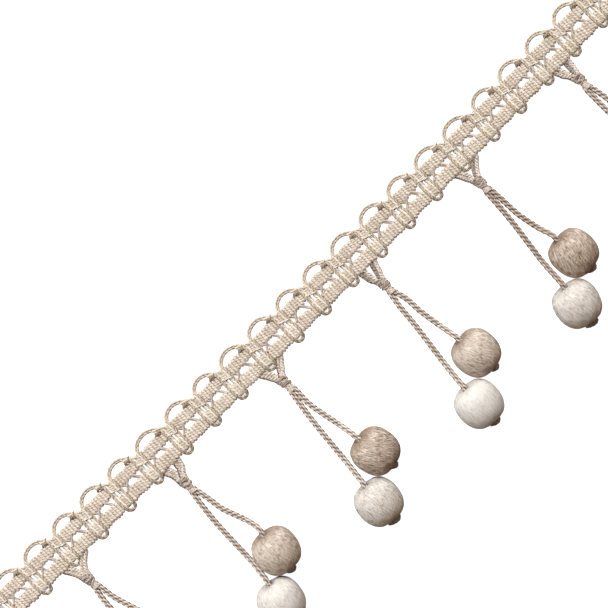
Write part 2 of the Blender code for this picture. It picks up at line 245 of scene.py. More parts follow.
RIB_FLATTENED = ((-1, -0.2, 1), (0.55, 0.72, 1.0))           # from the underside up to the face
CORE_HALF = 1.62         # the loop that each rib's yarn follows, before it is fitted to its band
CORE_LOW = 0.36
CORE_HIGH = 1.42
CORE_CORNER = 0.5
EDGE_INSET = 0.45        # from a band's edge to that loop
SLOT_EDGE_OUT = 0.2
EDGE_ROUNDING = 0.15
DRAWN_UP = ((-3.4, -1.7, 1.6, 2.6), (0.0, 0.8, 0.25, 0.0))   # the upper band's slot edge, by a column


def column_x(number):
    return COLUMN_SHIFT + number * PITCH + COLUMN_OFFSETS[number - FIRST_COLUMN]


def bow(x):
    """How far the braid's bend lifts it at x."""
    return BEND * (np.asarray(x) / BEND_AT) ** 2


class Piece:
    """Gathers the surfaces of yarns for one mesh."""

    def __init__(self):
        self.points, self.faces, self.corners = [], [], []
        self.groove, self.tint, self.finish = [], [], []
        self.count = 0

    def lay(self, grid, across, along, groove, tint, finish=0):
        """Adds a closed tube through rows of rings, with a cap at each end.

        finish is the number of its material, or one number for each face of its side.
        """
        rows, sides = grid.shape[:2]
        number = np.arange(rows * sides).reshape(rows, sides) + self.count
        ahead = np.roll(number, -1, axis=1)
        quads = np.stack([number[:-1], number[1:], ahead[1:], ahead[:-1]], axis=-1).reshape(-1, 4)
        where = np.stack(np.broadcast_arrays(across, along, np.empty((rows, sides + 1)))[:2], axis=-1)
        corners = np.stack([where[:-1, :-1], where[1:, :-1], where[1:, 1:], where[:-1, 1:]], axis=2)
        self.points.append(grid.reshape(-1, 3))
        self.faces += quads.tolist() + [number[0].tolist(), number[-1][::-1].tolist()]
        self.corners += [corners.reshape(-1, 2), where[0, :-1], where[-1, :-1][::-1]]
        for kept, given in ((self.groove, groove), (self.tint, tint)):
            kept.append(np.broadcast_to(given, (rows, sides)).reshape(-1))
        finishes = np.broadcast_to(finish, len(quads)).tolist()
        self.finish += finishes + [finishes[0], finishes[-1]]
        self.count += rows * sides

    def sew(self, name, finishes, nodes):
        """Makes the mesh, in the row's frame, and puts it in place of its solids."""
        mesh = bpy.data.meshes.new(name)
        points = (np.concatenate(self.points) - (0.0, SEW_LINE, 0.0)) * MM
        points[:, 2] = np.maximum(points[:, 2], 0.0)
        mesh.from_pydata(points, [], self.faces)
        layer = mesh.uv_layers.new(name="UVMap")
        layer.data.foreach_set("uv", np.concatenate(self.corners).astype(np.float32).ravel())
        for key, kept in (("groove", self.groove), ("tint", self.tint)):
            mark = mesh.attributes.new(key, "FLOAT", "POINT")
            mark.data.foreach_set("value", np.concatenate(kept).astype(np.float32))
        for finish in finishes:
            mesh.materials.append(finish.material)
        mesh.polygons.foreach_set("material_index", self.finish)
        mesh.polygons.foreach_set("use_smooth", [True] * len(mesh.polygons))
        mesh.update()
        piece = bpy.data.objects.new(name, mesh)
        bpy.context.scene.collection.objects.link(piece)
        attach(piece, "root")
        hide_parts(*nodes)
        return piece


FIBRE_RUN = 14.0         # how fast the fibres change along a yarn
CLOUD_SCALE = 1700.0
SPOT_SCALE = 420.0
FIBRE_RELIEF = 0.00008
YARN_ROUGHNESS = 0.72
YARN_SHEEN = 0.25


def dye(code):
    """The linear colour of a hex colour."""
    parts = [int(code[i:i + 2], 16) / 255 for i in (0, 2, 4)]
    return tuple(p / 12.92 if p <= 0.04045 else ((p + 0.055) / 1.055) ** 2.4 for p in parts)


def yarn_finish(name, pale, middle, dark, slant=0.5, fibres=10.0, depth=(0.3, 0.95), shade=0.92,
                speckle=0.8, dashes=0.0):
    """Spun yarn: fine fibres at a slant, painted shade in its grooves, and strands a little unlike."""
    finish = Finish(name)
    across, along = finish.across_and_along()
    slanted = (across + along * (slant * 10)) * fibres
    fibre = finish.noise(finish.point(slanted, along * FIBRE_RUN), 1.0, 3.0, 0.6)
    cloudy = finish.noise(finish.place(), CLOUD_SCALE, 2.0, 0.7)
    spots = finish.noise(finish.place(), SPOT_SCALE)
    light = finish.steps(fibre * 0.5 + cloudy * 0.8 + finish.mark("tint") * 0.5, 0.62, 1.16)
    colour = finish.blend(light, dye(middle), dye(pale))
    colour = finish.blend(finish.steps(spots, 0.5, 0.75) * 0.4, colour, dye(middle))
    low = finish.mark("groove")
    height = fibre * 0.7 + cloudy * 0.6
    if dashes:
        # The plies are twisted themselves, so each shows as a row of bright dashes, with painted shade in
        # the gaps between them
        dash = (across * (2 * math.pi * dashes)).math("SINE") * 0.5 + 0.5
        low = low.math("POWER", 1.2) + dash * 0.9
        height = height - dash
    # Painted shade: the groove mark, broken up by the fibres and the cloudy tone, mixes in the dark colour
    deep = finish.steps(low + (fibre - 0.5) * 0.5 + (0.5 - cloudy) * speckle, *depth) * shade
    finish.raise_fibres(height, 0.7, FIBRE_RELIEF)
    finish.surface(
        Base_Color=finish.blend(deep, colour, dye(dark)), Roughness=YARN_ROUGHNESS + (fibre - 0.5) * 0.3,
        Specular_IOR_Level=0.35, Sheen_Weight=YARN_SHEEN, Sheen_Roughness=0.45,
        Sheen_Tint=(*dye(pale), 1.0),
    )
    return finish


def rib_edges():
    """Where each rib starts along the braid, and whether it is open, under a strand or in a column."""
    half_block = (STRAND_SPACING + STRAND_WIDTH) / 2
    inner = (STRAND_SPACING - STRAND_WIDTH) / 2
    first, last = column_x(FIRST_COLUMN), column_x(LAST_COLUMN)
    starts = list(np.linspace(first - END_LENGTH, first - half_block, END_RIBS, False))
    kinds = ["open"] * END_RIBS
    for number in range(FIRST_COLUMN, LAST_COLUMN + 1):
        centre = column_x(number)
        starts += [centre - half_block, centre - inner, centre + inner]
        kinds += ["under", "inside", "under"]
        stop = last + END_LENGTH if number == LAST_COLUMN else column_x(number + 1) - half_block
        count = END_RIBS if number == LAST_COLUMN else RIBS_BETWEEN
        starts += list(np.linspace(centre + half_block, stop, count, False))
        kinds += ["open"] * count
    return np.array(starts + [last + END_LENGTH]), kinds


def rib_loop():
    """The line that each rib's yarn follows round a band, as (across, height), and its normals."""
    straight = CORE_HALF - CORE_CORNER
    right = [(0.0, CORE_LOW)]
    for turn, level, shares in (
        (-90, CORE_LOW + CORE_CORNER, (0.0, 0.5, 1.0)),
        (0, CORE_HIGH - CORE_CORNER, (0.0, 0.34, 0.67, 1.0)),
    ):
        for share in shares:
            angle = math.radians(turn + 90 * share)
            right.append((straight + CORE_CORNER * math.cos(angle), level + CORE_CORNER * math.sin(angle)))
    right += [(x, CORE_HIGH) for x in np.linspace(straight, 0.0, 10)[1:]]
    line = np.array(right + [(-x, z) for x, z in reversed(right[1:-1])])
    step = np.roll(line, -1, axis=0) - np.roll(line, 1, axis=0)
    step /= np.linalg.norm(step, axis=1)[:, None]
    return line, np.stack([step[:, 1], -step[:, 0]], axis=1)


def distances(path):
    """How far along its path each point lies."""
    return np.concatenate([[0.0], np.cumsum(np.linalg.norm(np.diff(path, axis=0), axis=1))])


rib_finish = yarn_finish(
    "rib_yarn", "f1e8dc", "ccbba7", "5c4a3c", slant=0.6, fibres=9.0, depth=(0.35, 1.15),
)
inside_finish = yarn_finish(
    "column_yarn", "e9dfd0", "bca88d", "675240", slant=0.6, fibres=9.0, depth=(0.3, 1.05),
)
chance = np.random.default_rng(11)
starts, kinds = rib_edges()
count = len(kinds)
loop_line, outward = rib_loop()
around = distances(loop_line)
flattened = np.interp(outward[:, 1], *RIB_FLATTENED)
weave = Piece()
for edges in (UPPER_BAND, LOWER_BAND):
    upper = edges is UPPER_BAND
    waves = 0.11 * np.sin(np.arange(count) * 1.15 + chance.uniform(0, 6, count).cumsum() * 0.05)
    edge_wobble = chance.normal(0.0, 0.07, count) + waves * (0.6 if upper else 1.6)
    slot_wobble = chance.normal(0.0, 0.1, count)
    swell = chance.uniform(0.9, 1.1, count)
    tints = chance.uniform(0.35, 0.75, count)
    phases = chance.uniform(0.0, np.pi, count)
    outer_side = 1 if upper else -1
    middle, half_width = sum(edges) / 2, abs(edges[1] - edges[0]) / 2
    share = loop_line[:, 0] / CORE_HALF * outer_side
    grid, groove, tint, across = [], [], [], []
    for rib, kind in enumerate(kinds):
        low, high = starts[rib], starts[rib + 1]
        half = (high - low) / 2
        height = min(half, RIB_TALLEST) * swell[rib] * RIB_KEPT[kind]
        nearest = min(range(FIRST_COLUMN, LAST_COLUMN + 1), key=lambda n: abs(column_x(n) - high))
        away = (low + high) / 2 - column_x(nearest)
        draw_up = float(np.interp(away, *DRAWN_UP)) if upper else 0.0
        for step in range(RIB_STEPS + (rib == count - 1)):
            lean = math.radians(-90 + 180 * step / RIB_STEPS)
            round_off = math.cos(lean)
            lobes = np.abs(np.cos(lean * 0.9 - 2 * np.pi * around / RIB_TWIST + phases[rib]))
            bulge = height * round_off * (0.6 + 0.4 * lobes) * flattened
            reach = np.where(share > 0, edge_wobble[rib], slot_wobble[rib] + SLOT_EDGE_OUT)
            reach = reach - EDGE_ROUNDING * (1 - round_off)
            y = share * outer_side * (half_width - EDGE_INSET + reach) + outward[:, 0] * bulge
            y = y + np.maximum(-share, 0) * draw_up
            grid.append(np.stack([
                np.full_like(y, low + half + half * math.sin(lean)),
                middle + bow(low + half) + y, loop_line[:, 1] + outward[:, 1] * bulge,
            ], axis=1))
            # Painted shade in the valleys between ribs and between plies, with more at the band's edges
            edge_shade = 0.35 * np.clip((np.abs(share) - 0.86) / 0.14, 0, 1) * (1 - 0.6 * round_off)
            groove.append(1 - round_off ** 0.6 * (0.25 + 0.75 * lobes) + edge_shade)
            tint.append(np.full_like(y, tints[rib]))
            across.append(rib + step / RIB_STEPS)
    along = np.append(around, around[-1] + 0.2) / 10
    across = np.array(across)[:, None]
    inside = np.repeat([kind == "inside" for kind in kinds], RIB_STEPS * len(loop_line)).astype(int)
    weave.lay(
        np.array(grid), across, along[None, :] + np.floor(across) * 0.37, np.array(groove),
        np.array(tint), inside,
    )
heading = weave.sew("heading_weave", [rib_finish, inside_finish], ["heading_braid"])


# Gimp. One flat cord of a white and a tan yarn side by side winds through the whole heading: down
# the left of each column, round the loop below the braid, up its right and over in an arch to the
# next column, with the white yarn always on the outside of an arch and the inside of a loop.
GIMP_STEP = 0.34
STRAND_OUT = 1.38        # from a column's centre to its strands
STRAND_CUT = (0.42, 0.42)    # half a yarn's width and height on the ribs
SLOT_CUT = (0.5, 0.46)
ARCH_CUT = (0.4, 0.5)
LOOP_CUT = (0.35, 0.52)
COLUMN_ROUTE = (         # across, along, height, and the yarns' cut
    (-STRAND_OUT + 0.02, 4.3, 1.72, *STRAND_CUT), (-STRAND_OUT, 3.2, 1.78, *STRAND_CUT),
    (-STRAND_OUT - 0.04, 1.4, 1.68, *STRAND_CUT), (-STRAND_OUT - 0.1, 0.0, 1.4, *SLOT_CUT),
    (-STRAND_OUT - 0.06, -1.5, 1.68, *STRAND_CUT), (-STRAND_OUT, -3.1, 1.78, *STRAND_CUT),
    (-STRAND_OUT + 0.02, -4.4, 1.65, *STRAND_CUT), (-STRAND_OUT - 0.02, -5.3, 1.0, *LOOP_CUT),
    (-0.96, -6.05, 0.58, *LOOP_CUT), (0.0, -6.38, 0.55, *LOOP_CUT), (0.96, -6.05, 0.58, *LOOP_CUT),
    (STRAND_OUT + 0.02, -5.3, 1.0, *LOOP_CUT), (STRAND_OUT - 0.02, -4.4, 1.65, *STRAND_CUT),
    (STRAND_OUT, -3.1, 1.78, *STRAND_CUT), (STRAND_OUT - 0.04, -1.5, 1.68, *STRAND_CUT),
    (STRAND_OUT - 0.14, 0.0, 1.4, 0.48, 0.46), (STRAND_OUT - 0.1, 1.5, 1.68, *STRAND_CUT),
    (STRAND_OUT, 3.2, 1.78, *STRAND_CUT), (STRAND_OUT - 0.1, 4.4, 1.7, *STRAND_CUT),
)
ARCH_ROUTE = (           # share of the way to the next column, how far out, and height
    (-0.015, 5.1, 1.3), (0.035, 6.0, 0.78), (0.14, 7.0, 0.58), (0.27, 7.6, 0.55), (0.43, 7.85, 0.55),
    (0.58, 7.68, 0.55), (0.73, 7.05, 0.57), (0.85, 6.2, 0.75), (0.955, 5.3, 1.35),
)
YARN_APART = 0.86        # from the cord's middle to each yarn's, in half widths of a yarn
YARN_LAY = 3.0
WHITE_SHADES = ((-6.0, 3.6, 5.0, 6.5), (1.0, 0.85, 0.15, 0.2))      # from the loops up to the arches
# Painted shade on the tan yarn where it faces away from the lamp: its tint is lowest round the loops, and
# the next table darkens it round the loops and inside the arch tops
TAN_SHADES = ((-6.4, -5.0, 4.5, 6.5), (0.0, 0.3, 0.4, 0.5))
TAN_PAINTED_SHADE = ((-6.4, -5.7, -4.9, 5.0, 7.8), (0.6, 0.3, 0.1, 0.05, 0.2))


def column_place(number):
    """A column's centre, and how far the braid's bend lifts it."""
    return column_x(number), float(bow(column_x(number)))


def through(points, step):
    """Even steps along a smooth curve through the given rows, whose first three values are a place."""
    points = np.array(points, float)
    padded = np.vstack([2 * points[0] - points[1], points, 2 * points[-1] - points[-2]])
    share = np.linspace(0, 1, 20, endpoint=False)[:, None]
    spans = [
        0.5 * (2 * b + (c - a) * share + (2 * a - 5 * b + 4 * c - d) * share ** 2
               + (3 * b - a - 3 * c + d) * share ** 3)
        for a, b, c, d in zip(padded, padded[1:], padded[2:], padded[3:])
    ]
    dense = np.vstack(spans + [points[-1:]])
    gone = distances(dense[:, :3])
    even = np.linspace(0.0, gone[-1], max(3, round(gone[-1] / step) + 1))
    return np.stack([np.interp(even, gone, column) for column in dense.T], axis=1), even


def plied(piece, path, far, wide, plies, lay, spread, finish, per_ply=5, hand=1, phase=0.0,
          tall=None, up=(0.0, 0.0, 1.0), tint=0.5, dashes=0, dash_height=0.0, dim=0.0):
    """Lays a yarn of several plies along a path. hand is 1 where its plies slant as in the letter S."""
    wide = np.broadcast_to(wide, far.shape)
    tall = wide if tall is None else np.broadcast_to(tall, far.shape)
    forward = np.gradient(path, axis=0)
    forward /= np.linalg.norm(forward, axis=1)[:, None]
    side = np.cross(forward, np.array(up))
    side /= np.linalg.norm(side, axis=1)[:, None]
    over = np.cross(side, forward)
    count = plies * per_ply
    corner = np.arange(count)
    within = ((corner / per_ply) % 1 - 0.5) * 2 * np.pi / plies
    shape = spread * np.cos(within) + np.sqrt((1 - spread) ** 2 - (spread * np.sin(within)) ** 2)
    angle = (hand * 2 * np.pi * far / lay + phase)[:, None] + 2 * np.pi * corner / count
    # Painted shade in the grooves between plies; dim is added to it and darkens the whole yarn
    groove = (1 - shape) / max(1 - shape.min(), 1e-6) + np.broadcast_to(dim, far.shape)[:, None]
    reach = shape + np.zeros_like(angle)
    across = (np.arange(count + 1) / per_ply)[None, :]
    if dashes:
        # Each ply is itself twisted, with its own turns parallel to the whole cord
        reach = reach * (1 - dash_height * (0.5 + 0.5 * np.sin(dashes * angle)))
        across = across + ((hand * far / lay + phase / (2 * np.pi)) * plies)[:, None]
    grid = (
        path[:, None] + side[:, None] * (wide[:, None] * reach * np.cos(angle))[..., None]
        + over[:, None] * (tall[:, None] * reach * np.sin(angle))[..., None]
    )
    tint = np.broadcast_to(tint, far.shape)[:, None]
    piece.lay(grid, across, far[:, None] / 10, groove, tint, finish)


gimp_finish = yarn_finish(
    "gimp_yarn_white", "faf4eb", "dacdbd", "86735f", slant=0.2, fibres=9.0, depth=(0.5, 1.2), shade=0.76,
)
tan_finish = yarn_finish(
    "gimp_yarn_tan", "e6d9c8", "bfac95", "5f4d3c", slant=0.2, fibres=9.0, depth=(0.5, 1.2), shade=0.82,
)
route = []
for number in range(FIRST_COLUMN, LAST_COLUMN + 1):
    c, lift = column_place(number)
    route += [(c + x, y + lift, *rest) for x, y, *rest in COLUMN_ROUTE]
    if number < LAST_COLUMN:
        foot, far_foot = c + STRAND_OUT, column_x(number + 1) - STRAND_OUT
        lift = float(bow((foot + far_foot) / 2))
        route += [(foot + share * (far_foot - foot), y + lift, z, *ARCH_CUT) for share, y, z in ARCH_ROUTE]
gimp_path, gimp_far = through(route, GIMP_STEP)
gimp_wide, gimp_tall = gimp_path[:, 3], gimp_path[:, 4]
beside = np.cross(np.gradient(gimp_path[:, :3], axis=0), (0.0, 0.0, 1.0))
beside /= np.linalg.norm(beside, axis=1)[:, None]
level = gimp_path[:, 1] - bow(gimp_path[:, 0])
WHITE, TAN = range(2)
gimp = Piece()
for sign, finish, shades, dim in (
    (-1, WHITE, WHITE_SHADES, 0.0), (1, TAN, TAN_SHADES, np.interp(level, *TAN_PAINTED_SHADE)),
):
    plied(
        gimp, gimp_path[:, :3] + beside * (sign * YARN_APART * gimp_wide)[:, None], gimp_far,
        gimp_wide, 2, YARN_LAY, tall=gimp_tall, spread=0.15, hand=-sign,
        tint=np.interp(level, *shades), finish=finish, dim=dim,
    )
gimp.sew("gimp_cord", [gimp_finish, tan_finish], ["heading_braid"])


# Slot threads. Yarn ends cross the slot: a crossed pair and a slanting pair in each gap, two thin
# threads in each column, one that slants over the column's upper half, and a stitch at both cut ends.
COLUMN_THREADS = (-0.68, 0.32)       # across from the column's centre
COLUMN_THREAD_ROUTE = ((0.0, 1.9, 1.2), (0.0, 0.0, 1.0), (0.05, -1.6, 1.2))
SLANTING_ROUTE = (
    (-1.75, 2.15, 1.75), (-0.9, 1.85, 2.15), (0.2, 1.4, 1.95), (1.2, 1.05, 2.0), (1.95, 0.85, 1.3),
)
END_STITCH_ROUTE = ((0.0, 1.7, 1.2), (0.0, 0.0, 1.1), (0.0, -1.7, 1.2))
END_STITCH_IN = 0.45
CROSSING_YARNS = (       # places from a column's centre, then half thickness, shade and height
    (((2.15, 1.6), (3.0, 0.75), (3.75, -0.2), (4.35, -1.5)), 0.42, 0.35, 1.15),
    (((2.5, -1.6), (3.3, -0.3), (4.1, 0.5), (4.9, 1.7)), 0.42, 0.3, 1.4),
    (((6.5, 1.7), (7.1, 0.6), (7.75, -0.4), (8.35, -1.6)), 0.28, 0.45, 1.1),
    (((6.9, 1.7), (7.6, 0.6), (8.4, -0.4), (8.9, -1.6)), 0.42, 0.65, 1.25),
)
CROSSING_CLIMB = 0.15    # up onto the bands
CROSSING_STRAY = 0.12
SLACK_LAY = 9.0
THREAD_STEP = 0.25
GIMP_YARN, TIE, SLOT_YARN = range(3)

tie_finish = yarn_finish("tie_thread", "b8a695", "92806f", "57483c", shade=0.75)
slot_finish = yarn_finish(
    "slot_yarn", "e0d4ca", "bdac9f", "7d6b5f", slant=0.3, fibres=9.0, depth=(0.5, 1.1), shade=0.8,
)
cross = Piece()


def thread(x0, y0, points, radius, tint, plies=2, lay=2.6, finish=GIMP_YARN):
    """Lays a thread through points that are given from x0 and y0."""
    path, far = through([(x0 + x, y0 + y, z) for x, y, z in points], THREAD_STEP)
    plied(cross, path, far, radius, plies, lay, spread=0.35, tint=tint, finish=finish)


for number in range(FIRST_COLUMN, LAST_COLUMN + 1):
    c, lift = column_place(number)
    vary = chance.normal(0.0, 0.08, 8)
    for x, shift in zip(COLUMN_THREADS, vary):
        thread(c + x + shift, lift, COLUMN_THREAD_ROUTE, 0.2, tint=0.9)
    thread(c, lift, SLANTING_ROUTE, 0.29, lay=3.4, tint=0.4 + vary[2])
    if number < LAST_COLUMN:
        lift = float(bow(c + PITCH / 2))
        for places, radius, shade, high in CROSSING_YARNS:
            points = [(x, y, high + CROSSING_CLIMB * abs(y)) for x, y in places]
            thread(
                c + chance.normal(0.0, CROSSING_STRAY), lift, points, radius, plies=3, lay=SLACK_LAY,
                tint=shade, finish=SLOT_YARN,
            )
for x in (starts[0] + END_STITCH_IN, starts[-1] - END_STITCH_IN):
    thread(x, float(bow(x)), END_STITCH_ROUTE, 0.5, tint=0.6)


# Ties. A soft taupe thread is knotted at the foot of each arch, and one ply of the gimp is caught in
# it, so the foot spreads over the top of the next column. With them the heading is whole: the two
# bands, with the gimp and all the threads worked into them.
TIE_FROM_COLUMN = -3.0
TIE_LEVEL = 4.9
for number in range(FIRST_COLUMN + 1, LAST_COLUMN + 1):
    c, lift = column_place(number)
    vary = chance.normal(0.0, 0.16, 10)
    x0, y0 = c + TIE_FROM_COLUMN + vary[0], TIE_LEVEL + lift + vary[1]
    thread(x0, y0, (
        (-1.1, -0.15, 1.35), (-0.45, 0.1 + vary[2], 1.9), (0.35, 0.2, 1.95), (0.95, -0.1, 1.4),
    ), 0.46, plies=3, lay=3.6, tint=0.5 + vary[4], finish=TIE)
    thread(x0, y0, (
        (-0.75, 0.5, 0.9), (-0.2, 0.35, 1.6), (0.3, -0.15 + vary[5], 1.95), (0.5, -0.5, 1.75),
    ), 0.4, plies=3, lay=3.4, tint=0.65 + vary[6], finish=TIE)
    thread(x0, y0, (
        (-0.2, -0.2, 1.6), (0.55, 0.35, 1.95), (1.15, 0.85 + vary[3], 1.75), (1.6, 1.2 + vary[3], 1.1),
    ), 0.24, tint=0.7, finish=TIE)
    thread(c, lift, (
        (-4.0, 6.35, 0.8), (-2.9, 5.95, 1.25), (-1.5, 5.5 + vary[7], 1.5), (-0.5, 4.95 + vary[7], 1.75),
        (-0.1, 4.2, 1.7),
    ), 0.42, plies=3, lay=SLACK_LAY, tint=0.35)
cross.sew("slot_threads", [gimp_finish, tie_finish, slot_finish], ["heading_braid"])


# Drops. Each hangs from two legs caught in the braid's lower edge: doubled soft yarn, pale or brown,
# or pale with a brown thread at its edge, drawn together in a knot and bound below it with thread.
# From there two hard-twisted three-ply cords part, the left one long and the right one short.
DROPS = (
    dict(knot=(-107.4, -11.1), legs=(-110.3, -102.5), left=((-109.0, -20.8), (-109.2, -28.0)),
         right=((-105.9, -20.8), (-104.4, -26.0)), ivory=(-110.8, -58.3, -5.0), taupe=(-99.8, -47.0, 7.0),
         ends=(4.2, 3.2), meet=(-107.2, -7.35), tone=0.6),
    dict(knot=(-65.2, -11.8), legs=(-66.9, -62.2), left=((-66.7, -20.8), (-67.5, -28.6)),
         right=((-63.6, -20.8), (-62.9, -25.5)), ivory=(-70.0, -58.3, -10.0), taupe=(-60.0, -46.3, -6.7),
         ends=(4.2, 3.7), meet=(-64.3, -7.6), tone=0.55),
    dict(knot=(-21.5, -11.6), legs=(-24.6, -17.1), left=((-23.1, -20.8), (-24.2, -28.6)),
         right=((-20.95, -20.8), (-20.4, -25.5)), ivory=(-27.2, -58.2, -5.4), taupe=(-16.8, -46.6, 8.2),
         ends=(5.0, 2.9), meet=(-21.2, -8.65), tone=0.65),
    dict(knot=(21.7, -12.4), legs=(19.5, 24.2), left=((20.2, -20.8), (19.4, -28.6)),
         right=((23.4, -20.8), (23.7, -26.4)), ivory=(15.8, -59.1, -3.3), taupe=(26.4, -47.5, 6.6),
         ends=(4.2, 3.4), meet=(21.6, -8.8), tone=0.55),
    dict(knot=(65.0, -11.6), legs=(62.1, 69.5), left=((63.9, -20.8), (63.1, -28.6)),
         right=((66.05, -20.8), (66.3, -27.0)), ivory=(58.8, -59.1, -7.3), taupe=(69.2, -47.4, 5.4),
         ends=(4.9, 3.7), meet=(65.1, -8.3), tone=0.15),
    dict(knot=(109.4, -11.2), legs=(106.3, 110.6), left=((108.5, -20.8), (108.2, -28.0)),
         right=((111.1, -20.8), (111.4, -25.5)), ivory=(103.8, -59.0, -4.0), taupe=(114.2, -47.4, 7.5),
         ends=(4.0, 3.2), meet=(108.8, -7.25), tone=0.5),
)
# Each leg's outer and inner strand: pale yarn, brown yarn, or pale yarn edged with a brown thread
PALE, BROWN, EDGED = range(3)
LEG_SHADES = (
    ((EDGED, PALE), (PALE, PALE)), ((EDGED, PALE), (PALE, EDGED)), ((EDGED, PALE), (PALE, EDGED)),
    ((BROWN, PALE), (PALE, BROWN)), ((EDGED, PALE), (PALE, BROWN)), ((EDGED, PALE), (PALE, BROWN)),
)
LEG_CUT = (0.76, 0.62)   # half a strand's width and height
LEG_APART = 0.7
LEG_TOP = -4.5           # under the lower band
LEG_HEIGHT = 0.66
LEG_MEET = 1.5           # each side of the place where the legs meet
EDGE_THREAD = 0.32       # half the brown thread's width
EDGE_THREAD_OUT = 0.66
EDGE_THREAD_UP = 0.36
KNOT_CORE = (1.2, 1.15)
KNOT_TURNS = 8
KNOT_PITCH = 0.4
KNOT_TOP = 1.6
KNOT_REACH = 1.75        # to each side, and less at its top and foot by KNOT_NARROWS
KNOT_NARROWS = 0.4
KNOT_THREAD = 0.36
KNOT_STRAY = 0.36        # how unevenly its turns lie
BINDING_MIDDLE = 2.6     # below the knot
BINDING_RING = 0.98
BINDING_CORE = 0.86
BINDING_THREAD = 0.26
BINDING_TURNS = 8
BINDING_PITCH = 0.33
CORD_RADIUS = 1.02
CORD_PLIES = 3
CORD_LAY = 5.2
CORD_STEP = 0.2
CORD_DASHES = 5          # turns of each ply in one of the cord
CORD_DASH_HEIGHT = 0.12
CORD_LIES = 0.96         # height of its route on the table, before it is raised clear of it
CORD_APPROACH = 9.5      # from a bead's centre, where its cord starts to climb
CORD_ENTERS = 6.4
CORD_STOPS = 2.0
BEAD_CENTRE_Z = 6.9
BEAD_TIP = math.radians(9)           # how far a bead's upper end is tipped up
END_KNOT_AT = -7.35      # from the bead's centre, along its axis
SOFT_YARN = dict(plies=3, lay=4.2, spread=0.4)
LEG, KNOT, BROWN_LEG, BINDING = range(4)
CORD, END_KNOT = range(2)

leg_finish = yarn_finish(
    "leg_yarn", "f3e9de", "c2b1a2", "5f4d42", slant=0.35, depth=(0.4, 1.05), speckle=2.8,
)
dark_leg_finish = yarn_finish(
    "brown_leg_yarn", "cabcb0", "82716a", "3c2e28", slant=0.35, depth=(0.4, 1.05), speckle=3.2,
)
knot_finish = yarn_finish(
    "knot_yarn", "dacdc1", "a69689", "66564b", depth=(0.5, 1.25), shade=0.8, speckle=2.4,
)
binding_finish = yarn_finish(
    "binding_thread", "f2e9de", "d6c8b9", "8b7967", depth=(0.5, 1.3), speckle=1.2,
)
cord_finish = yarn_finish(
    "twisted_cord", "f1e6da", "c3b2a3", "4f382a", slant=0.0, fibres=9.0, depth=(0.35, 1.25), shade=0.85,
    dashes=CORD_DASHES / CORD_PLIES,
)
# The end knots get a darker yarn than their cords: painted shade, for the shadow they lie in under the
# beads
shaded_end_finish = yarn_finish("end_knot_yarn_painted_shade", "b5a598", "88776c", "4d3f36", shade=0.8)


def bead_frame(x, y, lean):
    """Centre of a bead and the direction of its axis, from the end knot up to the cord."""
    slant = math.radians(lean)
    flat = np.array([-math.sin(slant), math.cos(slant), 0.0])
    return np.array([x, y, BEAD_CENTRE_Z]), flat * math.cos(BEAD_TIP) + (0.0, 0.0, math.sin(BEAD_TIP))


def coil(piece, centre, axis, ring, wire, turns, rise, tilt=0.0, **more):
    """Turns of yarn round an axis."""
    axis = axis / np.linalg.norm(axis)
    side = np.cross(axis, (0.0, 0.0, 1.0))
    side /= np.linalg.norm(side)
    over = np.cross(side, axis)
    angle = np.linspace(0, 2 * np.pi * turns, int(18 * turns) + 1)
    level = (angle / (2 * np.pi) - turns / 2) * rise + tilt * np.sin(angle)
    path = (
        np.array(centre) + np.outer(np.cos(angle) * ring, side) + np.outer(np.sin(angle) * ring, over)
        + np.outer(level, axis)
    )
    plied(piece, path, distances(path), wire, up=tuple(axis), **more)


def strand(piece, points, wide, **more):
    path, far = through(points, THREAD_STEP)
    plied(piece, path, far, wide, **more)


